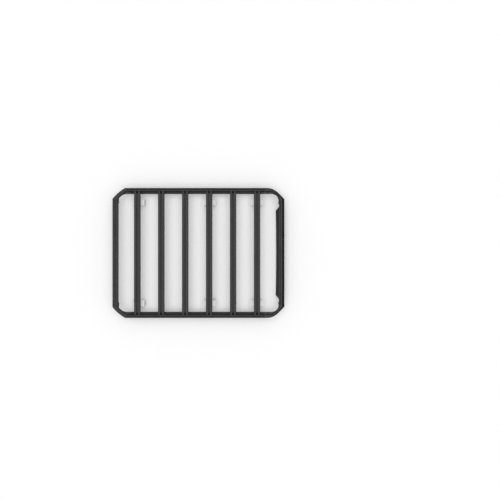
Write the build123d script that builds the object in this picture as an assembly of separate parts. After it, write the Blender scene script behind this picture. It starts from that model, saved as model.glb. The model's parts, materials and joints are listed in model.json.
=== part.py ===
from build123d import *
from math import asin, cos, radians, sin, tan
import os

# A flat platform roof rack: a frame of extruded rails and cast corners, cross slats,
# a wind deflector under the front rail and six feet that clamp round roof rails.
# Millimetres. +X points forwards, +Y to the left, +Z up. The origin lies under the
# middle of the platform, on the plane of the feet's undersides.

# Platform
platform_length = 1775.0
platform_width = 1340.0
rail_height = 45.0
wall = 3.0
seat_gap = 0.3
cutter_overshoot = 1.0

# Side rails: an outer box with a groove on top, and an inner ledge that carries the slats
side_box_width = 32.0
side_groove_width = 10.5
side_groove_depth = 5.0
side_groove_from_edge = 11.0
ledge_width = 27.0
ledge_thickness = 6.0
rail_edge_radius = 3.0
rail_foot_radius = 1.5

# Accessory slot, a T in section, in the side, rear and front rails and under the slats
slot_mouth = 9.0
slot_lip = 3.0
slot_chamber = 16.0
slot_chamber_depth = 7.0
slot_height_on_rail = 19.0

# Rear rail
rear_rail_width = 54.0
rear_recess_width = 26.0
rear_recess_from_edge = 16.5
rear_recess_depth = 6.0

# Front rail, with a nose that slopes down to the front and a shelf behind its top lip
front_rail_width = 56.5
nose_width = 26.5
nose_foot = 4.0
front_lip_width = 15.0
front_shelf_drop = 14.0

# Cross slats
slat_count = 6
slat_width = 65.0
slat_height = 35.0
slat_sole_width = 59.0
slat_sole_rise = 10.0
slat_edge_radius = 8.0
slat_sole_radius = 2.0
slat_channel_width = 20.0
slat_channel_depth = 7.0
slat_land_wall = 4.0
slat_sole_wall = 4.5
rear_bay = 253.5
front_bay = 284.0
notch_length = 22.0

# Rear corner castings
rear_chamfer_x = 130.0
rear_chamfer_y = 112.5
rear_chamfer_bow = 13.0
rear_bow_radius = 450.0
rear_corner_band = 29.0
rear_corner_seat = 15.5
rear_corner_side = 20.5
rear_turn_radius = 14.0
rear_web_radius = 137.0
rear_tongue_reach = 37.5
rear_leg_reach = 29.0
rear_leg_height = 30.0
rear_leg_thickness = 6.0

# Front corner castings
front_chamfer_x = 111.5
front_chamfer_y = 112.5
front_corner_band = 33.0
front_corner_seat = 27.0
front_corner_side = 95.0
front_corner_step = 0.5
front_turn_radius = 170.0
front_web_radius = 72.0
front_tongue_reach = 33.0
front_leg_reach = 25.0
front_leg_height = 22.0
front_leg_thickness = 4.5
chamfer_nose_width = 24.0
chamfer_nose_drop = 24.0

# What both kinds of corner share
web_thickness = 12.0
tongue_gap = 4.5
corner_edge_radius = 2.0
corner_inner_radius = 12.0

# Wind deflector and its rubber seal
deflector_thickness = 3.0
deflector_lean = 23.5
deflector_depth = 62.0
deflector_crown = 10.0
deflector_top_from_rail = 46.0
deflector_bottom_from_rail = 78.0
deflector_flange = 40.0
deflector_fold_setback = 2.0
deflector_bend_radius = 2.0
seal_grip = 8.0
seal_lip = 5.0
seal_cheek = 3.0

# Clamp feet
roof_rail_radius = 23.0
roof_rail_from_side = 144.0
liner_thickness = 3.0
liner_seat_gap = 0.2
foot_length = 131.0
foot_wall = 8.0
foot_lip = 6.0
foot_cap = 16.0
foot_edge_radius = 7.0
jaw_split = 18.5
jaw_gap = 0.3
lip_gap = 10.0
post_height = 16.0
post_length = 44.0
post_width = 34.0
flange_length = 60.0
flange_width = 76.0
flange_thickness = 6.0

# Heights that follow from the stack of foot, slat and rail
bore_radius = roof_rail_radius + liner_thickness
roof_rail_z = foot_lip + bore_radius
saddle_top_z = roof_rail_z + bore_radius + foot_cap
slat_z = saddle_top_z + post_height
rail_z = slat_z - ledge_thickness
rail_top_z = rail_z + rail_height

# Lines that the pieces share in plan
x_rear = -platform_length / 2
x_front = platform_length / 2
x_rear_inner = x_rear + rear_rail_width
x_front_inner = x_front - front_rail_width
y_side = platform_width / 2
y_box_inner = y_side - side_box_width
y_ledge_inner = y_box_inner - ledge_width
x_rail_start = x_rear + rear_chamfer_x + rear_corner_side
x_rail_end = x_front - front_chamfer_x - front_corner_side
first_slat_x = x_rear + rear_bay
last_slat_x = x_front - front_bay
slat_pitch = (last_slat_x - first_slat_x) / (slat_count - 1)
slat_half_length = y_box_inner - seat_gap
y_roof_rail = y_side - roof_rail_from_side


def block(u_low, u_high, v_low, v_high):
    """A rectangle in a section, by its edges."""
    middle = Pos((u_low + u_high) / 2, (v_low + v_high) / 2)
    return middle * Rectangle(u_high - u_low, v_high - v_low)


def brick(x_low, x_high, y_low, y_high, z_low, z_high):
    """A box by its faces."""
    middle = Pos((x_low + x_high) / 2, (y_low + y_high) / 2, (z_low + z_high) / 2)
    return middle * Box(x_high - x_low, y_high - y_low, z_high - z_low)


def rounded(corners):
    """A face from (u, v, radius) corners, in order."""
    points = [(u, v) for u, v, radius in corners]
    radii = [radius for u, v, radius in corners]
    return make_face(FilletPolyline(*points, radius=radii, close=True))


def side_slot(middle):
    """An accessory slot that opens through the face u = 0."""
    mouth = block(-cutter_overshoot, slot_lip, middle - slot_mouth / 2, middle + slot_mouth / 2)
    low = middle - slot_chamber / 2
    chamber = block(slot_lip, slot_lip + slot_chamber_depth, low, low + slot_chamber)
    return mouth + chamber


def sole_slot(middle):
    """An accessory slot that opens through the face v = 0."""
    mouth = block(middle - slot_mouth / 2, middle + slot_mouth / 2, -cutter_overshoot, slot_lip)
    low = middle - slot_chamber / 2
    chamber = block(low, low + slot_chamber, slot_lip, slot_lip + slot_chamber_depth)
    return mouth + chamber


def along_x(section, x_low, x_high):
    """Extrude a (y, z) section from one x to another."""
    return extrude(Plane.YZ.offset(x_low) * section, amount=x_high - x_low)


def along_y(section, half_length):
    """Extrude an (x, z) section to both sides of the middle."""
    return extrude(Plane.XZ * section, amount=half_length, both=True)


def mirrored(solid):
    """The same piece for the other side of the rack."""
    return mirror(solid, about=Plane.XZ)


# Rails

slot_depth = slot_lip + slot_chamber_depth


def side_rail_section():
    """Section of a side rail: u runs inwards from the outer face, v up from the sole."""
    edge = rail_edge_radius
    foot = rail_foot_radius
    ledge_edge = side_box_width + ledge_width
    outline = rounded([
        (0, 0, foot),
        (0, rail_height, edge),
        (side_box_width, rail_height, edge),
        (side_box_width, ledge_thickness, 0),
        (ledge_edge, ledge_thickness, foot),
        (ledge_edge, 0, foot),
    ])
    groove_floor = rail_height - side_groove_depth
    groove_end = side_groove_from_edge + side_groove_width
    groove = block(side_groove_from_edge, groove_end, groove_floor, rail_height + cutter_overshoot)
    core = block(slot_depth + wall, side_box_width - wall, wall, groove_floor - wall)
    return outline - groove - side_slot(slot_height_on_rail) - core


def left_side_rail():
    section = mirror(side_rail_section(), about=Plane.YZ)
    return along_x(Pos(y_side, rail_z) * section, x_rail_start, x_rail_end)


def rear_rail(half_length):
    edge = rail_edge_radius
    outline = rounded([
        (0, 0, rail_foot_radius),
        (0, rail_height, edge),
        (rear_rail_width, rail_height, edge),
        (rear_rail_width, 0, rail_foot_radius),
    ])
    floor = rail_height - rear_recess_depth
    recess_end = rear_recess_from_edge + rear_recess_width
    recess = block(rear_recess_from_edge, recess_end, floor, rail_height + cutter_overshoot)
    core = block(slot_depth + wall, rear_rail_width - wall, wall, floor - wall)
    section = outline - recess - side_slot(slot_height_on_rail) - core
    return along_y(Pos(x_rear, rail_z) * section, half_length)


def front_rail(half_length):
    """The section's u runs backwards from the front edge."""
    lip_end = nose_width + front_lip_width
    shelf = rail_height - front_shelf_drop
    outline = rounded([
        (0, 0, rail_foot_radius),
        (0, nose_foot, rail_foot_radius),
        (nose_width, rail_height, rail_edge_radius),
        (lip_end, rail_height, rail_foot_radius),
        (lip_end, shelf, rail_foot_radius),
        (front_rail_width, shelf, rail_foot_radius),
        (front_rail_width, 0, rail_foot_radius),
    ])
    core = block(nose_width + wall, front_rail_width - wall, slot_depth + wall, shelf - wall)
    slot_middle = (nose_width + front_rail_width) / 2
    section = mirror(outline - core - sole_slot(slot_middle), about=Plane.YZ)
    return along_y(Pos(x_front, rail_z) * section, half_length)


# Slats

def slat(x):
    sole = slat_sole_width / 2
    side = slat_width / 2
    outline = rounded([
        (-sole, 0, slat_sole_radius),
        (sole, 0, slat_sole_radius),
        (side, slat_sole_rise, slat_edge_radius),
        (side, slat_height, slat_edge_radius),
        (-side, slat_height, slat_edge_radius),
        (-side, slat_sole_rise, slat_edge_radius),
    ])
    floor = slat_height - slat_channel_depth
    half_channel = slat_channel_width / 2
    channel = block(-half_channel, half_channel, floor, slat_height + cutter_overshoot)
    middle_core = block(-half_channel, half_channel, slot_depth + wall, floor - wall)
    core_edge = half_channel + wall
    core = block(core_edge, sole - wall, slat_sole_wall, slat_height - slat_land_wall)
    section = outline - channel - sole_slot(0) - middle_core - core - mirror(core, about=Plane.YZ)
    bar = along_y(Pos(x, slat_z) * section, slat_half_length)
    # At each end the channel's floor is cut away over the bolt that holds the slat to its ledge
    notch = brick(
        x - half_channel, x + half_channel,
        slat_half_length - notch_length, slat_half_length + cutter_overshoot,
        slat_z + floor - wall - cutter_overshoot, slat_z + floor + cutter_overshoot)
    return bar - notch - mirrored(notch)


# Corner castings

def inwards_of(start, end):
    """The direction at right angles to a chamfer, towards the middle of the platform."""
    across = (Vector(*end) - Vector(*start)).normalized().cross(Vector(0, 0, 1))
    return -across if across.Y > 0 else across


def inner_line(start, end, band):
    """Two points of the line that lies inside a chamfer by the band's width."""
    inset = inwards_of(start, end) * band
    return Vector(*start) + inset, Vector(*end) + inset


def y_on_line(line, x):
    """Where a line, given by two points, has this x."""
    first, second = line
    return first.Y + (x - first.X) * (second.Y - first.Y) / (second.X - first.X)


def x_on_line(line, y):
    """Where a line, given by two points, has this y."""
    first, second = line
    return first.X + (y - first.Y) * (second.X - first.X) / (second.Y - first.Y)


rear_chamfer_start = (x_rear, y_side - rear_chamfer_y)
rear_chamfer_end = (x_rear + rear_chamfer_x, y_side)
rear_inner = inner_line(rear_chamfer_start, rear_chamfer_end, rear_corner_band)
rear_inner_y = y_on_line(rear_inner, x_rear_inner)
rear_joint_y = min(rear_chamfer_start[1], rear_inner_y) - rear_corner_seat

front_side_y = y_side - front_corner_step
front_chamfer_start = (x_front, front_side_y - front_chamfer_y)
front_chamfer_end = (x_front - front_chamfer_x, front_side_y)
front_inner = inner_line(front_chamfer_start, front_chamfer_end, front_corner_band)
front_inner_y = y_on_line(front_inner, x_front_inner)
front_joint_y = min(front_chamfer_start[1], front_inner_y) - front_corner_seat


def casting_plan(end_corners, side_corners, inner, x_end_inner, joint_y):
    """Plan of a corner's tall outer band, from the end rail round to the side rail."""
    return rounded([
        *end_corners,
        *side_corners,
        (x_on_line(inner, y_box_inner), y_box_inner, corner_inner_radius),
        (x_end_inner, y_on_line(inner, x_end_inner), 0),
        (x_end_inner, joint_y, 0),
    ])


def casting_foot(
        x_rail, x_end_inner, inner, radius, joint_y, tongue_reach, leg_reach, leg_height, leg_thickness):
    """The low web inside a corner, its tongue on the ledge and its leg on the end rail.

    The web's free edge is an arc that leaves the line of the ledge's inner edge.
    """
    outwards = 1 if x_end_inner > x_rail else -1
    x_leg = x_end_inner - outwards * leg_thickness
    x_tongue = x_rail - outwards * tongue_reach
    y_low = joint_y - leg_reach
    y_past = y_low - cutter_overshoot
    y_root = y_on_line(inner, x_end_inner)
    run = min(radius, abs(x_leg - x_rail))
    turn = asin(run / radius)
    x_tangent = x_leg - outwards * run
    y_middle = y_ledge_inner - radius
    arc_middle = (x_tangent + outwards * radius * sin(turn / 2), y_middle + radius * cos(turn / 2))
    arc_end = (x_leg, y_middle + radius * cos(turn))
    bay = make_face([
        *Polyline(
            arc_end, (x_leg, y_past), (x_tongue, y_past), (x_tongue, y_ledge_inner),
            (x_tangent, y_ledge_inner)).edges(),
        ThreePointArc((x_tangent, y_ledge_inner), arc_middle, arc_end),
    ])
    inside = make_face(Polyline(
        (x_rail, y_low),
        (x_rail, y_box_inner),
        (x_on_line(inner, y_box_inner), y_box_inner),
        (x_end_inner, y_root),
        (x_end_inner, y_low),
        close=True,
    ))
    z_low = rail_z + ledge_thickness
    z_web = z_low + web_thickness
    web = Pos(0, 0, z_low) * extrude(inside - bay, amount=web_thickness)
    low_x, high_x = sorted((x_rail, x_tongue))
    tongue = brick(low_x, high_x, y_ledge_inner, y_box_inner - tongue_gap, z_low, z_web)
    low_x, high_x = sorted((x_leg, x_end_inner))
    leg = brick(low_x, high_x, y_low, y_root, z_low, z_low + leg_height)
    return web + tongue + leg


def rear_left_corner():
    chamfer_middle = (Vector(*rear_chamfer_start) + Vector(*rear_chamfer_end)) / 2
    bow = chamfer_middle - inwards_of(rear_chamfer_start, rear_chamfer_end) * rear_chamfer_bow
    end_corners = [
        (x_rear, rear_joint_y, 0),
        (*rear_chamfer_start, rear_turn_radius),
        (bow.X, bow.Y, rear_bow_radius),
        (*rear_chamfer_end, rear_turn_radius),
    ]
    side_corners = [(x_rail_start, y_side, 0), (x_rail_start, y_box_inner, 0)]
    plan = casting_plan(end_corners, side_corners, rear_inner, x_rear_inner, rear_joint_y)
    cap = Pos(0, 0, rail_z) * extrude(plan, amount=rail_height)
    cap = fillet(cap.faces().sort_by(Axis.Z)[-1].edges(), corner_edge_radius)
    return cap + casting_foot(
        x_rail_start, x_rear_inner, rear_inner, rear_web_radius, rear_joint_y,
        rear_tongue_reach, rear_leg_reach, rear_leg_height, rear_leg_thickness)


def nose_cutter(low_point, top_point, other_top_point):
    """Everything outside the sloping plane through three points of the nose."""
    slope = top_point - low_point
    along = other_top_point - top_point
    outwards = along.cross(slope).normalized()
    if outwards.Z < 0:
        outwards = -outwards
    face = Plane(origin=top_point, x_dir=along, z_dir=outwards)
    size = 2 * platform_width
    return face * Box(size, size, size, align=(Align.CENTER, Align.CENTER, Align.MIN))


def front_left_corner():
    end_corners = [
        (x_front, front_joint_y, 0),
        (*front_chamfer_start, 0),
        (*front_chamfer_end, front_turn_radius),
    ]
    side_corners = [(x_rail_end, front_side_y, 0), (x_rail_end, y_box_inner, 0)]
    plan = casting_plan(end_corners, side_corners, front_inner, x_front_inner, front_joint_y)
    cap = Pos(0, 0, rail_z) * extrude(plan, amount=rail_height)
    rail_nose_top = Vector(x_front - nose_width, front_joint_y, rail_top_z)
    rail_nose_low = Vector(x_front, front_joint_y, rail_z + nose_foot)
    across = Vector(0, front_corner_seat, 0)
    cap -= nose_cutter(rail_nose_low, rail_nose_top, rail_nose_top + across)
    top_line = inner_line(front_chamfer_start, front_chamfer_end, chamfer_nose_width)
    chamfer_top = [point + Vector(0, 0, rail_top_z) for point in top_line]
    chamfer_low = Vector(*front_chamfer_start, rail_top_z - chamfer_nose_drop)
    cap -= nose_cutter(chamfer_low, *chamfer_top)
    cap = fillet(cap.faces().sort_by(Axis.Z)[-1].edges(), corner_edge_radius)
    return cap + casting_foot(
        x_rail_end, x_front_inner, front_inner, front_web_radius, front_joint_y,
        front_tongue_reach, front_leg_reach, front_leg_height, front_leg_thickness)


# Wind deflector

x_fold = x_front_inner + deflector_fold_setback
lean_tan = tan(radians(deflector_lean))
lean_width = deflector_thickness / cos(radians(deflector_lean))
deflector_half_top = y_roof_rail - deflector_top_from_rail
deflector_half_bottom = y_roof_rail - deflector_bottom_from_rail


def x_behind(z):
    """The rear face of the deflector's plate at this height."""
    return x_fold - (rail_z - z) * lean_tan


def deflector():
    z_foot = rail_z - deflector_depth
    z_under = rail_z - deflector_thickness
    bend = deflector_bend_radius
    section = rounded([
        (x_fold + deflector_flange, rail_z, 0),
        (x_fold, rail_z, bend + deflector_thickness),
        (x_behind(z_foot), z_foot, 0),
        (x_behind(z_foot) + lean_width, z_foot, 0),
        (x_behind(z_under) + lean_width, z_under, bend),
        (x_fold + deflector_flange, z_under, 0),
    ])
    sheet = along_y(section, deflector_half_top)
    return sheet & along_x(deflector_outline(), x_rear, x_front)


def deflector_outline():
    """The deflector seen from the front: sloping ends and a crowned lower edge."""
    top = deflector_half_top
    bottom = deflector_half_bottom
    z_foot = rail_z - deflector_depth
    z_under = rail_z - deflector_thickness
    return make_face([
        *Polyline(
            (-bottom, z_foot), (-top, z_under), (-top, rail_z), (top, rail_z), (top, z_under),
            (bottom, z_foot)).edges(),
        ThreePointArc((bottom, z_foot), (0, z_foot + deflector_crown), (-bottom, z_foot)),
    ])


def deflector_seal(plate):
    """A rubber edging that grips the plate's lower edge and stands below it."""
    half = deflector_half_bottom
    z_foot = rail_z - deflector_depth
    z_low = z_foot - seal_lip
    z_high = z_foot + seal_grip
    outline = make_face([
        *Polyline((-half, z_low), (-half, z_high)).edges(),
        ThreePointArc((-half, z_high), (0, z_high + deflector_crown), (half, z_high)),
        *Polyline((half, z_high), (half, z_low)).edges(),
        ThreePointArc((half, z_low), (0, z_low + deflector_crown), (-half, z_low)),
    ])
    z_top = z_high + deflector_crown
    band = make_face(Polyline(
        (x_behind(z_low) - seal_cheek, z_low),
        (x_behind(z_top) - seal_cheek, z_top),
        (x_behind(z_top) + lean_width + seal_cheek, z_top),
        (x_behind(z_low) + lean_width + seal_cheek, z_low),
        close=True,
    ))
    return (along_y(band, half) & along_x(outline, x_rear, x_front)) - plate


# Clamp feet, made round the roof rail's axis with +Y outboard

half_foot = bore_radius + foot_wall
bore = Pos(0, roof_rail_z) * Circle(bore_radius)


def foot_block(outline):
    """A casting of this section around the bore, with its upright corners rounded."""
    block_along_rail = along_x(outline - bore, -foot_length / 2, foot_length / 2)
    plan = RectangleRounded(foot_length, 2 * half_foot, foot_edge_radius)
    return block_along_rail & extrude(plan, amount=saddle_top_z)


def foot_saddle():
    """The cast upper half: the outboard jaw, the cap over the rail, the post and its flange."""
    edge = foot_edge_radius
    outline = rounded([
        (jaw_gap / 2 - jaw_split, roof_rail_z, 0),
        (jaw_gap / 2 - jaw_split, saddle_top_z, 0),
        (half_foot, saddle_top_z, edge),
        (half_foot, 0, edge),
        (lip_gap / 2, 0, 0),
        (lip_gap / 2, roof_rail_z, 0),
    ])
    body = foot_block(outline)
    post = Pos(0, 0, saddle_top_z) * extrude(
        RectangleRounded(post_length, post_width, edge), amount=post_height)
    flange_z = slat_z - flange_thickness
    flange = Pos(0, 0, flange_z) * extrude(
        RectangleRounded(flange_length, flange_width, edge), amount=flange_thickness)
    return body + post + flange


def foot_jaw():
    """The inboard jaw, drawn up against the saddle by two bolts."""
    edge = foot_edge_radius
    outline = rounded([
        (-jaw_gap / 2 - jaw_split, roof_rail_z, 0),
        (-jaw_gap / 2 - jaw_split, saddle_top_z, 0),
        (-half_foot, saddle_top_z, edge),
        (-half_foot, 0, edge),
        (-lip_gap / 2, 0, 0),
        (-lip_gap / 2, roof_rail_z, 0),
    ])
    return foot_block(outline)


def foot_liners():
    """Rubber liners between the casting and the roof rail, one on each side of the split."""
    ring = Pos(0, roof_rail_z) * (Circle(bore_radius - liner_seat_gap) - Circle(roof_rail_radius))
    reach = 2 * half_foot
    above = saddle_top_z
    outboard = block(jaw_gap / 2 - jaw_split, reach, roof_rail_z, above)
    outboard += block(lip_gap / 2, reach, 0, roof_rail_z)
    inboard = block(-reach, -jaw_gap / 2 - jaw_split, roof_rail_z, above)
    inboard += block(-reach, -lip_gap / 2, 0, roof_rail_z)
    half = foot_length / 2
    return [along_x(ring & side, -half, half) for side in (outboard, inboard)]


# All pieces

pieces = {
    "rear_rail": rear_rail(rear_joint_y),
    "front_rail": front_rail(front_joint_y),
}
left_pieces = {
    "side_rail": left_side_rail(),
    "rear_corner": rear_left_corner(),
    "front_corner": front_left_corner(),
}
for name, piece in left_pieces.items():
    pieces["left_" + name] = piece
    pieces["right_" + name] = mirrored(piece)

slat_x = [first_slat_x + number * slat_pitch for number in range(slat_count)]
for number, x in enumerate(slat_x, start=1):
    pieces[f"slat_{number}"] = slat(x)

plate = deflector()
pieces["wind_deflector"] = plate
pieces["deflector_seal"] = deflector_seal(plate)

foot_pieces = {
    "foot_saddle": foot_saddle(),
    "foot_jaw": foot_jaw(),
    "foot_liner": Compound(foot_liners()),
}
foot_x = {"rear": slat_x[0], "middle": slat_x[slat_count // 2], "front": slat_x[-1]}
for place, x in foot_x.items():
    for name, piece in foot_pieces.items():
        left = Pos(x, y_roof_rail, 0) * piece
        pieces[f"left_{place}_{name}"] = left
        pieces[f"right_{place}_{name}"] = mirrored(left)

os.makedirs("parts", exist_ok=True)
for name, piece in pieces.items():
    export_step(piece, f"parts/{name}.step")
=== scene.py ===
import json
import math

import bmesh
import bpy
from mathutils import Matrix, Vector


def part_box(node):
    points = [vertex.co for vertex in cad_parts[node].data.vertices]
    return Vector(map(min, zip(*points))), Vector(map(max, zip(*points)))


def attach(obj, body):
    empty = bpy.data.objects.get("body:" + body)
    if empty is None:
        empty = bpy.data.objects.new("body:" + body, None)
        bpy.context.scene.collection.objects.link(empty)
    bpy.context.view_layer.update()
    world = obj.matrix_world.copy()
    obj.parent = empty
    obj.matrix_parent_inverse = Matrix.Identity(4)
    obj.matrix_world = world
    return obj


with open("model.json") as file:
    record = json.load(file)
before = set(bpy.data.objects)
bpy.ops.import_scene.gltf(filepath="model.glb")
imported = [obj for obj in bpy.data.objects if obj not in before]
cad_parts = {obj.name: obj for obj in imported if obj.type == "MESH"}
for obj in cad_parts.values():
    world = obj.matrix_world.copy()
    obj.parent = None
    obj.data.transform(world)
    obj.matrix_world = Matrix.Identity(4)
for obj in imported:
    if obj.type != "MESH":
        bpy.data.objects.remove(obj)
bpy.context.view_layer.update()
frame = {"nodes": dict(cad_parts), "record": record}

# A flat platform roof rack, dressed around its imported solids: coats, rubber strips and fasteners.

MM = 0.001

# The photograph's frame: pixels across, mm for each pixel on the rack's top, and the lens, which looks
# straight down
IMAGE_PIXELS = 500
MM_PER_PIXEL = 10.303
LENS_ABOVE_TOP = 5600 * MM
LENS_X = 530.7 * MM
LENS_Y = 30.5 * MM
SENSOR_WIDTH = 36.0

# Light and floor: what reaches the rack, and what a background shows
SUN_STRENGTH = 1.15
SUN_ANGLE = math.radians(75)
SKY_COLOUR = (1.0, 1.0, 1.0, 1.0)
SKY_STRENGTH = 0.64
SKY_SEEN = 1.0
FLOOR_BOUNCE = (0.75, 0.75, 0.75)
FLOOR_SEEN = (1.0, 1.0, 1.0)
FLOOR_ROUGHNESS = 0.9
FLOOR_GLOSS = 0.0
FLOOR_REACH = 40.0
FLOOR_DROP = 0.5 * MM

record = frame["record"]
nodes = frame["nodes"]

# Boxes of the rails and a slat, and the heights that the added pieces sit at
rear_low, rear_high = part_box("rear_rail")
front_low, front_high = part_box("front_rail")
rail_low, rail_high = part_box("left_side_rail")
slat_low, slat_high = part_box("slat_1")
top_z = rear_high.z
ledge_z = slat_low.z
underside_z = rail_low.z


# Shader nodes

# Colour sockets of a Mix node, by number because its other sockets have the same names
MIX_FIRST, MIX_SECOND = 6, 7
MIX_RESULT = 2
ZERO_TO_ONE = (0.0, 1.0)
ONE_TO_ZERO = (1.0, 0.0)
FULL_STRENGTH = 1.0
OPAQUE = 1.0
OCCLUSION_SAMPLES = 8

# Noise: the range that holds most of its values, and its octaves
NOISE_RANGE = (0.3, 0.7)
NOISE_ROUGHNESS = 0.55
FINE_DETAIL = 2.0
PLAIN_DETAIL = 3.0
CLOUDY_DETAIL = 4.0
MOTTLED_DETAIL = 5.0

COOL = (1.0, 1.005, 1.02)


def grey(level):
    """A grey that is a little cool."""
    return tuple(level * share for share in COOL)


def new_material(name):
    """A node material, its tree and its Principled shader."""
    material = bpy.data.materials.new(name)
    material.use_nodes = True
    tree = material.node_tree
    return material, tree, tree.nodes["Principled BSDF"]


def calculate(tree, operation, first, second):
    """Join two values by a Math operation."""
    node = tree.nodes.new("ShaderNodeMath")
    node.operation = operation
    tree.links.new(first, node.inputs[0])
    tree.links.new(second, node.inputs[1])
    return node.outputs[0]


def multiply(tree, first, second):
    return calculate(tree, "MULTIPLY", first, second)


def spread(tree, value, to_range, from_range=ZERO_TO_ONE, smooth=False):
    """Map a value from one range to another."""
    node = tree.nodes.new("ShaderNodeMapRange")
    if smooth:
        node.interpolation_type = "SMOOTHSTEP"
    node.inputs["From Min"].default_value, node.inputs["From Max"].default_value = from_range
    node.inputs["To Min"].default_value, node.inputs["To Max"].default_value = to_range
    tree.links.new(value, node.inputs["Value"])
    return node.outputs["Result"]


def noise(tree, scale, detail=PLAIN_DETAIL):
    """A noise in the frame's own coordinates: features are about 1 / scale metres across."""
    place = tree.nodes.new("ShaderNodeTexCoord")
    texture = tree.nodes.new("ShaderNodeTexNoise")
    texture.inputs["Scale"].default_value = scale
    texture.inputs["Detail"].default_value = detail
    texture.inputs["Roughness"].default_value = NOISE_ROUGHNESS
    tree.links.new(place.outputs["Object"], texture.inputs["Vector"])
    return texture.outputs["Fac"]


def vary(tree, scale, to_range, detail=PLAIN_DETAIL):
    """A noise that wanders between two values."""
    return spread(tree, noise(tree, scale, detail), to_range, NOISE_RANGE)


def mix_colours(tree, factor, first, second):
    """Blend two colours by a factor."""
    node = tree.nodes.new("ShaderNodeMix")
    node.data_type = "RGBA"
    tree.links.new(factor, node.inputs["Factor"])
    for number, colour in ((MIX_FIRST, first), (MIX_SECOND, second)):
        socket = node.inputs[number]
        if isinstance(colour, tuple):
            socket.default_value = (*colour, OPAQUE)
        else:
            tree.links.new(colour, socket)
    return node.outputs[MIX_RESULT]


def add_roughness(tree, shader, scale, rough):
    """Roughness that wanders in a range."""
    tree.links.new(vary(tree, scale, rough), shader.inputs["Roughness"])


def add_bump(tree, shader, layers):
    """Stack bumps from (height, depth in metres) layers."""
    normal = None
    for height, depth in layers:
        bump = tree.nodes.new("ShaderNodeBump")
        bump.inputs["Strength"].default_value = FULL_STRENGTH
        bump.inputs["Distance"].default_value = depth
        tree.links.new(height, bump.inputs["Height"])
        if normal:
            tree.links.new(normal, bump.inputs["Normal"])
        normal = bump.outputs["Normal"]
    tree.links.new(normal, shader.inputs["Normal"])


def surface_z(tree, vector):
    """The Z of a surface's Normal or Position."""
    geometry = tree.nodes.new("ShaderNodeNewGeometry")
    split = tree.nodes.new("ShaderNodeSeparateXYZ")
    tree.links.new(geometry.outputs[vector], split.inputs["Vector"])
    return split.outputs["Z"]


def facing_up(tree, slopes):
    """How far a surface faces up, from 0 to 1: where a coat's top gets painted light and rubber gathers
    dust.
    """
    return spread(tree, surface_z(tree, "Normal"), ZERO_TO_ONE, slopes, smooth=True)


def low_down(tree, heights):
    """1 below the first height and 0 above the second: where low ledges get painted light."""
    return spread(tree, surface_z(tree, "Position"), ONE_TO_ZERO, heights)


def open_to_sky(tree, distance):
    """How far a surface is open to the sky, from 0 in a deep corner to 1."""
    node = tree.nodes.new("ShaderNodeAmbientOcclusion")
    node.samples = OCCLUSION_SAMPLES
    node.inputs["Distance"].default_value = distance
    return node.outputs["AO"]


# Black powder coat

# Painted light and shade of the coat: faces that look up are painted lighter than steep faces
TOP_LIT_SLOPES = (0.5, 1.0)
# Painted shade in corners: shares of open sky over which tops take the lit tone, and over which the
# coat turns near black
TOP_LIT_OPEN_SKY = (0.35, 0.9)
CORNER_SHADE_SKY = (0.3, 0.85)
PATCH_SCALE = 9.0
PATCH_SHARES = (0.84, 1.06)
PIT_SCALE = 950.0
PIT_RANGE = (0.36, 0.56)
PIT_SHARES = (0.62, 1.0)
COAT_ROUGH_SCALE = 40.0
PEEL_SCALE = 240.0
GRAIN_SCALE = 1200.0
# Near black for the painted shade in corners and for the coat's dark fine pits
CORNER_SHADE_AND_PIT_BLACK = grey(0.003)
# Heights below which ledges that face up are painted lighter
LEDGE_LIGHT_HEIGHTS = (104 * MM, 110 * MM)


def coat(name, shaded_tone, lit_tone, gloss, shelter, grain, peel, rough, dust_and_ledge_light=None):
    """Black powder coat with painted light and shade: lighter where it faces up and is open to the sky,
    painted shade in corners, dark fine pits at random, painted light on low ledges.

    shelter is how near a wall has to be for the painted corner shade, and grain and peel are depths of
    bump.
    """
    material, tree, shader = new_material(name)
    shader.inputs["Specular IOR Level"].default_value = gloss
    sky = open_to_sky(tree, shelter)
    # Painted shade: tops close to walls keep the shaded tone
    lit_out_of_corners = spread(tree, sky, ZERO_TO_ONE, TOP_LIT_OPEN_SKY)
    up = multiply(tree, facing_up(tree, TOP_LIT_SLOPES), lit_out_of_corners)
    patches = vary(tree, PATCH_SCALE, PATCH_SHARES)
    # Painted light and shade: the lit tone on faces that look up, the shaded tone on steep faces
    tone = mix_colours(tree, multiply(tree, up, patches), shaded_tone, lit_tone)
    # Painted light on low ledges that face up
    if dust_and_ledge_light:
        ledge_light_share = multiply(tree, up, low_down(tree, LEDGE_LIGHT_HEIGHTS))
        tone = mix_colours(tree, ledge_light_share, tone, dust_and_ledge_light)
    # Painted shade: deep corners go near black; random fine pits are dark too
    clear = spread(tree, sky, ZERO_TO_ONE, CORNER_SHADE_SKY)
    pits = spread(tree, noise(tree, PIT_SCALE, FINE_DETAIL), PIT_SHARES, PIT_RANGE)
    corner_shaded_and_pitted = mix_colours(tree, multiply(tree, clear, pits), CORNER_SHADE_AND_PIT_BLACK, tone)
    tree.links.new(corner_shaded_and_pitted, shader.inputs["Base Color"])
    add_roughness(tree, shader, COAT_ROUGH_SCALE, rough)
    add_bump(tree, shader, [
        (noise(tree, PEEL_SCALE), peel),
        (noise(tree, GRAIN_SCALE, FINE_DETAIL), grain),
    ])
    return material


# Cast metal

CASTING_GLOSS = 0.4
CASTING_TONE_SCALE = 55.0
CASTING_ROUGH_SCALE = 130.0
MOULD_SKIN_SCALE = 420.0
MOULD_SKIN_DEPTH = 0.25 * MM


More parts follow.
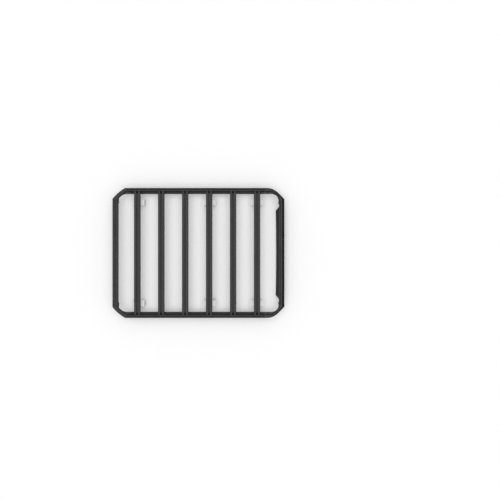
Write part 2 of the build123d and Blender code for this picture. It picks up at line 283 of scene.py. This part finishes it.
def casting(name, dark, pale, rough):
    """Pale cast metal with the fine skin of the mould."""
    material, tree, shader = new_material(name)
    shader.inputs["Specular IOR Level"].default_value = CASTING_GLOSS
    mottling = vary(tree, CASTING_TONE_SCALE, ZERO_TO_ONE, MOTTLED_DETAIL)
    tree.links.new(mix_colours(tree, mottling, dark, pale), shader.inputs["Base Color"])
    add_roughness(tree, shader, CASTING_ROUGH_SCALE, rough)
    add_bump(tree, shader, [(noise(tree, MOULD_SKIN_SCALE, CLOUDY_DETAIL), MOULD_SKIN_DEPTH)])
    return material


# Rubber

RUBBER_GLOSS = 0.2
RUBBER_ROUGH = (0.68, 0.86)
RUBBER_ROUGH_SCALE = 90.0
DUSTY_SLOPES = (0.3, 1.0)
DUST_SCALE = 34.0
DUST_RANGE = (0.32, 0.68)
DUST_SHARES = (0.2, 1.0)
RUBBER_SKIN_SCALE = 900.0
RUBBER_SKIN_DEPTH = 0.08 * MM


def rubber(name, dark, dust_and_ledge_light):
    """Matt rubber with dust in patches."""
    material, tree, shader = new_material(name)
    shader.inputs["Specular IOR Level"].default_value = RUBBER_GLOSS
    patches = spread(tree, noise(tree, DUST_SCALE, CLOUDY_DETAIL), DUST_SHARES, DUST_RANGE)
    dust = multiply(tree, facing_up(tree, DUSTY_SLOPES), patches)
    tree.links.new(mix_colours(tree, dust, dark, dust_and_ledge_light), shader.inputs["Base Color"])
    add_roughness(tree, shader, RUBBER_ROUGH_SCALE, RUBBER_ROUGH)
    add_bump(tree, shader, [(noise(tree, RUBBER_SKIN_SCALE, FINE_DETAIL), RUBBER_SKIN_DEPTH)])
    return material


# Fastener metal

METAL_TONE_SCALE = 160.0
METAL_ROUGH_SCALE = 500.0
METAL_SKIN_SCALE = 1500.0
METAL_SKIN_DEPTH = 0.03 * MM


def metal(name, dark, pale, metallic, gloss, rough):
    """Fastener metal with faint patches and a fine skin."""
    material, tree, shader = new_material(name)
    shader.inputs["Metallic"].default_value = metallic
    shader.inputs["Specular IOR Level"].default_value = gloss
    patches = vary(tree, METAL_TONE_SCALE, ZERO_TO_ONE, CLOUDY_DETAIL)
    tree.links.new(mix_colours(tree, patches, dark, pale), shader.inputs["Base Color"])
    add_roughness(tree, shader, METAL_ROUGH_SCALE, rough)
    add_bump(tree, shader, [(noise(tree, METAL_SKIN_SCALE, FINE_DETAIL), METAL_SKIN_DEPTH)])
    return material


# Materials of the rack and their nodes

SATIN = 0.15
MATT = 0.03
EXTRUDED = {"shelter": 10 * MM, "grain": 0.05 * MM, "peel": 0.10 * MM, "rough": (0.62, 0.74)}
CAST = {"shelter": 8 * MM, "grain": 0.09 * MM, "peel": 0.22 * MM, "rough": (0.64, 0.78)}
# Copies of one black powder coat whose tones paint each part's light and shade: darker steep faces and
# lighter tops on the front rail and front corners, darker tops on the side rails, lighter steep faces
# on the deflector
SATIN_BLACK = {"shaded_tone": grey(0.028), "gloss": SATIN}
MATT_SHADED_BLACK = {"shaded_tone": grey(0.011), "gloss": MATT}
SHEET_LIT_BLACK = {"shaded_tone": grey(0.033), "gloss": SATIN}

extrusion_coat = coat("extrusion_coat", lit_tone=grey(0.061), **SATIN_BLACK, **EXTRUDED)
side_coat = coat("side_coat", lit_tone=grey(0.049), **SATIN_BLACK, **EXTRUDED)
front_coat = coat("front_coat", lit_tone=grey(0.080), **MATT_SHADED_BLACK, **EXTRUDED)
sheet_coat = coat("sheet_coat", lit_tone=grey(0.058), **SHEET_LIT_BLACK, **EXTRUDED)
rear_corner_coat = coat(
    "rear_corner_coat", lit_tone=grey(0.056), dust_and_ledge_light=grey(0.076), **SATIN_BLACK, **CAST)
front_corner_coat = coat(
    "front_corner_coat", lit_tone=grey(0.074), dust_and_ledge_light=grey(0.098), **MATT_SHADED_BLACK, **CAST)
pale_casting = casting("pale_casting", dark=grey(0.77), pale=grey(0.845), rough=(0.42, 0.56))
black_rubber = rubber("black_rubber", dark=grey(0.014), dust_and_ledge_light=grey(0.054))
grey_rubber = rubber("grey_rubber", dark=grey(0.60), dust_and_ledge_light=grey(0.70))
infill_rubber = rubber("infill_rubber", dark=grey(0.024), dust_and_ledge_light=grey(0.059))
groove_rubber = rubber("groove_rubber", dark=grey(0.016), dust_and_ledge_light=grey(0.0435))
black_bolt = metal(
    "black_bolt", dark=grey(0.005), pale=grey(0.010), metallic=0.0, gloss=MATT, rough=(0.50, 0.62))
steel_bolt = metal(
    "steel_bolt", dark=grey(0.44), pale=grey(0.60), metallic=1.0, gloss=SATIN, rough=(0.30, 0.42))

SLOT_LOOKS = {
    "black_powder_coat": extrusion_coat,
    "pale_casting": pale_casting,
    "rubber": black_rubber,
}
ENDING_LOOKS = {
    "rear_corner": rear_corner_coat,
    "front_corner": front_corner_coat,
    "side_rail": side_coat,
    "front_rail": front_coat,
    "wind_deflector": sheet_coat,
    "liner": grey_rubber,
}


def look_of(node, slot):
    """The look for the ending of a node's name, or else for its slot."""
    for ending, look in ENDING_LOOKS.items():
        if node.endswith(ending):
            return look
    return SLOT_LOOKS[slot]


for row in record["subparts"]:
    solid = nodes[row["node"]].data
    solid.materials.clear()
    solid.materials.append(look_of(row["node"], row["material_slot"]))


# Shapes of the fasteners

RING_STEPS = 24
SHARP_EDGE = math.radians(32)

# Rings of a fastener from its seat outwards: radius (half the width across the flats where there
# are flats) and height in mm, and the number of flats
ROUND, HEX = 0, 6
SOCKET_HEAD = [
    (6.5, 0, ROUND), (6.5, 7.3, ROUND), (5.9, 8.0, ROUND), (3.6, 8.0, ROUND),
    (3.0, 7.6, HEX), (3.0, 4.0, HEX),
]
BUTTON_HEAD = [
    (7.0, 0, ROUND), (7.0, 0.9, ROUND), (6.3, 2.4, ROUND), (5.0, 3.7, ROUND), (3.2, 4.4, ROUND),
    (2.5, 4.2, HEX), (2.5, 1.8, HEX),
]
FLANGE_BOLT = [
    (8.0, 0, ROUND), (8.0, 1.0, ROUND), (6.8, 1.9, ROUND),
    (5.6, 2.1, HEX), (5.6, 6.4, HEX), (5.0, 7.2, ROUND),
]
FLANGE_NUT = [
    (8.0, 0, ROUND), (8.0, 1.0, ROUND), (6.8, 1.8, ROUND),
    (5.6, 2.0, HEX), (5.6, 6.8, HEX), (4.9, 7.4, ROUND),
    (4.0, 7.4, ROUND), (4.0, 9.6, ROUND), (3.4, 10.3, ROUND),
]

# A socket head on a washer, in mm, with the head kept inside the washer's edge
WASHER_RADIUS = 7.0
WASHER_THICKNESS = 1.4
WASHERED_HEAD_RADIUS = 6.0
WASHER = [(WASHER_RADIUS, 0, ROUND), (WASHER_RADIUS, WASHER_THICKNESS, ROUND)]
WASHERED_SOCKET_HEAD = WASHER + [
    (min(radius, WASHERED_HEAD_RADIUS), height + WASHER_THICKNESS, flats)
    for radius, height, flats in SOCKET_HEAD
]

UP = Vector((0, 0, 1))
DOWN = Vector((0, 0, -1))
FORWARDS = Vector((1, 0, 0))
BACKWARDS = Vector((-1, 0, 0))
LEFTWARDS = Vector((0, 1, 0))
SIDES = {"left": 1, "right": -1}


def ring_points(radius, height, flats):
    """One ring of points, round or with flats."""
    points = []
    for step in range(RING_STEPS):
        angle = math.tau * step / RING_STEPS
        reach = radius
        if flats:
            flat = math.tau / flats
            reach = radius / math.cos(angle % flat - flat / 2)
        points.append(Vector((reach * math.cos(angle), reach * math.sin(angle), height)) * MM)
    return points


def add_fastener(mesh, rings, seat, axis):
    """Add a closed turned shape that stands on its seat along an axis."""
    turn = UP.rotation_difference(axis).to_matrix()
    loops = []
    for ring in rings:
        loops.append([mesh.verts.new(turn @ point + seat) for point in ring_points(*ring)])
    mesh.faces.new(loops[0][::-1])
    mesh.faces.new(loops[-1])
    for lower, upper in zip(loops, loops[1:]):
        for step in range(RING_STEPS):
            after = (step + 1) % RING_STEPS
            mesh.faces.new((lower[step], lower[after], upper[after], upper[step]))


def add_piece(name, mesh, look):
    """Turn a finished mesh into a piece of the rack."""
    data = bpy.data.meshes.new(name)
    mesh.to_mesh(data)
    mesh.free()
    data.shade_smooth()
    data.set_sharp_from_angle(angle=SHARP_EDGE)
    data.materials.append(look)
    piece = bpy.data.objects.new(name, data)
    bpy.context.scene.collection.objects.link(piece)
    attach(piece, "root")


def add_fasteners(name, rings, seats, axis, look):
    """One piece with a fastener on each seat."""
    mesh = bmesh.new()
    for seat in seats:
        add_fastener(mesh, rings, seat, axis)
    add_piece(name, mesh, look)


def add_black(name, rings, seats, axis):
    add_fasteners(name, rings, seats, axis, black_bolt)


def add_coated(name, rings, seats, axis):
    add_fasteners(name, rings, seats, axis, rear_corner_coat)


def add_steel(name, rings, seats, axis):
    add_fasteners(name, rings, seats, axis, steel_bolt)


# Places of the fasteners

# Deflector bolts: in a row, forward of the front rail's rear face
DEFLECTOR_THICKNESS = 3 * MM
DEFLECTOR_BOLT_FROM_FACE = 15 * MM
DEFLECTOR_BOLT_PITCH = 150 * MM
DEFLECTOR_BOLT_COUNT = 6

# Ledge bolts: from the ends of the slats and side rails, with heights above the ledge
SLAT_BOLT_FROM_END = 11 * MM
NOTCH_FLOOR = 13 * MM
TONGUE_THICKNESS = 12 * MM
REAR_TONGUE_BOLT = 19 * MM
FRONT_TONGUE_BOLTS = (-17 * MM, 34 * MM)

# Leg bolts: from the end rail's end, and above the ledge
REAR_LEG_THICKNESS = 6 * MM
REAR_LEG_BOLT = (-19 * MM, 15 * MM)
FRONT_LEG_THICKNESS = 4.5 * MM
FRONT_LEG_BOLT = (-12 * MM, 11 * MM)

# Foot nuts and jaw bolts: either side of a foot's middle
FOOT_PLACES = ("rear", "middle", "front")
BOTH_WAYS = (-1, 1)
FOOT_FLANGE = 6 * MM
FOOT_NUT_SPREAD = 27.5 * MM
JAW_BOLT_SPREAD = 45 * MM
JAW_BOLT_Z = 59 * MM


def middle(node):
    """The middle of a node's box, as x and y."""
    low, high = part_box(node)
    return (low.x + high.x) / 2, (low.y + high.y) / 2


slats = sorted(node for node in nodes if node.startswith("slat_"))
slat_x = [middle(slat)[0] for slat in slats]
tongue_x = [rail_low.x + REAR_TONGUE_BOLT]
tongue_x += [rail_high.x + step for step in FRONT_TONGUE_BOLTS]
ledge_y = slat_high.y - SLAT_BOLT_FROM_END


def add_deflector_bolts():
    """A row of bolts up through the deflector's flange."""
    bolt_x = front_low.x + DEFLECTOR_BOLT_FROM_FACE
    seats = []
    for number in range(DEFLECTOR_BOLT_COUNT):
        bolt_y = (number - (DEFLECTOR_BOLT_COUNT - 1) / 2) * DEFLECTOR_BOLT_PITCH
        seats.append(Vector((bolt_x, bolt_y, underside_z - DEFLECTOR_THICKNESS)))
    add_steel("deflector_bolts", FLANGE_BOLT, seats, DOWN)


def add_ledge_fasteners(side, sign):
    """Bolts in the slats' notches and on the tongues, and nuts where the ledge is under them."""
    bolt_y = sign * ledge_y
    slat_seats = [Vector((x, bolt_y, ledge_z + NOTCH_FLOOR)) for x in slat_x]
    tongue_seats = [Vector((x, bolt_y, ledge_z + TONGUE_THICKNESS)) for x in tongue_x]
    nut_seats = [Vector((x, bolt_y, underside_z)) for x in slat_x + tongue_x if x < rail_high.x]
    add_black(f"{side}_slat_bolts", SOCKET_HEAD, slat_seats, UP)
    add_coated(f"{side}_tongue_bolts", BUTTON_HEAD, tongue_seats, UP)
    add_steel(f"{side}_ledge_nuts", FLANGE_NUT, nut_seats, DOWN)


def add_leg_bolts(side, sign):
    """A bolt through each corner's leg into the end rail."""
    step_y, step_z = REAR_LEG_BOLT
    seat = Vector((rear_high.x + REAR_LEG_THICKNESS, sign * (rear_high.y + step_y), ledge_z + step_z))
    add_black(f"{side}_rear_leg_bolt", BUTTON_HEAD, [seat], FORWARDS)
    step_y, step_z = FRONT_LEG_BOLT
    seat = Vector((front_low.x - FRONT_LEG_THICKNESS, sign * (front_high.y + step_y), ledge_z + step_z))
    add_black(f"{side}_front_leg_bolt", BUTTON_HEAD, [seat], BACKWARDS)


def add_foot_fasteners(side, sign):
    """Nuts under each foot's flange, and bolts on the inboard face of its jaw."""
    for place in FOOT_PLACES:
        foot_x, foot_y = middle(f"{side}_{place}_foot_liner")
        jaw_low, jaw_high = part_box(f"{side}_{place}_foot_jaw")
        inboard_y = jaw_low.y if sign > 0 else jaw_high.y
        nut_seats = []
        jaw_seats = []
        for way in BOTH_WAYS:
            nut_seats.append(Vector((foot_x, foot_y + way * FOOT_NUT_SPREAD, ledge_z - FOOT_FLANGE)))
            jaw_seats.append(Vector((foot_x + way * JAW_BOLT_SPREAD, inboard_y, JAW_BOLT_Z)))
        add_steel(f"{side}_{place}_foot_nuts", FLANGE_NUT, nut_seats, DOWN)
        add_steel(f"{side}_{place}_jaw_bolts", WASHERED_SOCKET_HEAD, jaw_seats, -sign * LEFTWARDS)


add_deflector_bolts()
for side, sign in SIDES.items():
    add_ledge_fasteners(side, sign)
    add_leg_bolts(side, sign)
    add_foot_fasteners(side, sign)


# Ribbed rubber strips in the grooves of the rear rail and the side rails

STRIP_SIDE_GAP = 0.3 * MM
STRIP_END_GAP = 1.5 * MM
STRIP_BASE = 1.6 * MM
STRIP_RIB = 0.7 * MM
RIB_PITCH = 3.6 * MM
CROWN_START, CROWN_END = 0.28, 0.72

REAR_GROOVE_FROM_EDGE = 16.5 * MM
REAR_GROOVE_WIDTH = 26 * MM
REAR_GROOVE_DEPTH = 6 * MM
SIDE_GROOVE_FROM_EDGE = 11 * MM
SIDE_GROOVE_WIDTH = 10.5 * MM
SIDE_GROOVE_DEPTH = 5 * MM


def strip_profile(width):
    """A flat sole and ribbed top, as (across, height) points."""
    count = round(width / RIB_PITCH)
    pitch = width / count
    crown = STRIP_BASE + STRIP_RIB
    points = [(0, 0), (width, 0)]
    for number in reversed(range(count)):
        start = number * pitch
        points.append((start + pitch, STRIP_BASE))
        points.append((start + CROWN_END * pitch, crown))
        points.append((start + CROWN_START * pitch, crown))
    points.append((0, STRIP_BASE))
    return points


def add_strip(name, width, corner, across, along, length, look):
    """A strip of ribbed rubber from one corner of its groove."""
    mesh = bmesh.new()
    ends = []
    for reach in (0, length):
        ends.append([
            mesh.verts.new(corner + across * step + UP * height + along * reach)
            for step, height in strip_profile(width)
        ])
    first, last = ends
    count = len(first)
    mesh.faces.new(first[::-1])
    mesh.faces.new(last)
    for step in range(count):
        after = (step + 1) % count
        mesh.faces.new((first[step], first[after], last[after], last[step]))
    bmesh.ops.recalc_face_normals(mesh, faces=mesh.faces)
    add_piece(name, mesh, look)


def add_rear_strip():
    width = REAR_GROOVE_WIDTH - 2 * STRIP_SIDE_GAP
    length = rear_high.y - rear_low.y - 2 * STRIP_END_GAP
    edge_x = rear_low.x + REAR_GROOVE_FROM_EDGE + STRIP_SIDE_GAP
    corner = Vector((edge_x, rear_low.y + STRIP_END_GAP, top_z - REAR_GROOVE_DEPTH))
    add_strip("rear_infill_strip", width, corner, FORWARDS, LEFTWARDS, length, infill_rubber)


def add_side_strip(side, sign):
    width = SIDE_GROOVE_WIDTH - 2 * STRIP_SIDE_GAP
    length = rail_high.x - rail_low.x - 2 * STRIP_END_GAP
    edge_y = rail_high.y - SIDE_GROOVE_FROM_EDGE - STRIP_SIDE_GAP
    corner = Vector((rail_low.x + STRIP_END_GAP, sign * edge_y, top_z - SIDE_GROOVE_DEPTH))
    add_strip(f"{side}_infill_strip", width, corner, -sign * LEFTWARDS, FORWARDS, length, groove_rubber)


add_rear_strip()
for side, sign in SIDES.items():
    add_side_strip(side, sign)


# Stage

def seen_ray(tree):
    """1 for rays that show a background: straight to the camera, mirrored or through glass."""
    path = tree.nodes.new("ShaderNodeLightPath")
    seen = path.outputs["Is Camera Ray"]
    for ray in ("Is Glossy Ray", "Is Transmission Ray"):
        seen = calculate(tree, "MAXIMUM", seen, path.outputs[ray])
    return seen


def add_floor():
    """A floor that shows white and bounces a little less light than that."""
    material, tree, shader = new_material("floor")
    shader.inputs["Roughness"].default_value = FLOOR_ROUGHNESS
    shader.inputs["Specular IOR Level"].default_value = FLOOR_GLOSS
    colour = mix_colours(tree, seen_ray(tree), FLOOR_BOUNCE, FLOOR_SEEN)
    tree.links.new(colour, shader.inputs["Base Color"])
    mesh = bpy.data.meshes.new("floor")
    corners = [
        (-FLOOR_REACH, -FLOOR_REACH, 0), (FLOOR_REACH, -FLOOR_REACH, 0),
        (FLOOR_REACH, FLOOR_REACH, 0), (-FLOOR_REACH, FLOOR_REACH, 0),
    ]
    mesh.from_pydata(corners, [], [(0, 1, 2, 3)])
    mesh.materials.append(material)
    floor = bpy.data.objects.new("floor", mesh)
    floor.location.z = -FLOOR_DROP
    bpy.context.scene.collection.objects.link(floor)


def add_light():
    """A wide soft light overhead and an even sky."""
    lamp = bpy.data.lights.new("overhead", "SUN")
    lamp.energy = SUN_STRENGTH
    lamp.angle = SUN_ANGLE
    bpy.context.scene.collection.objects.link(bpy.data.objects.new("overhead", lamp))
    world = bpy.data.worlds.new("studio")
    world.use_nodes = True
    tree = world.node_tree
    background = tree.nodes["Background"]
    background.inputs["Color"].default_value = SKY_COLOUR
    strength = spread(tree, seen_ray(tree), (SKY_STRENGTH, SKY_SEEN))
    tree.links.new(strength, background.inputs["Strength"])
    bpy.context.scene.world = world


def add_camera():
    """A camera that looks straight down, with the photograph's frame on the rack's top."""
    data = bpy.data.cameras.new("camera")
    data.sensor_width = SENSOR_WIDTH
    width = IMAGE_PIXELS * MM_PER_PIXEL * MM
    data.lens = SENSOR_WIDTH * LENS_ABOVE_TOP / width
    camera = bpy.data.objects.new("camera", data)
    camera.location = (LENS_X, LENS_Y, top_z + LENS_ABOVE_TOP)
    bpy.context.scene.collection.objects.link(camera)
    bpy.context.scene.camera = camera


add_floor()
add_light()
add_camera()
bpy.context.scene.view_settings.view_transform = "Standard"
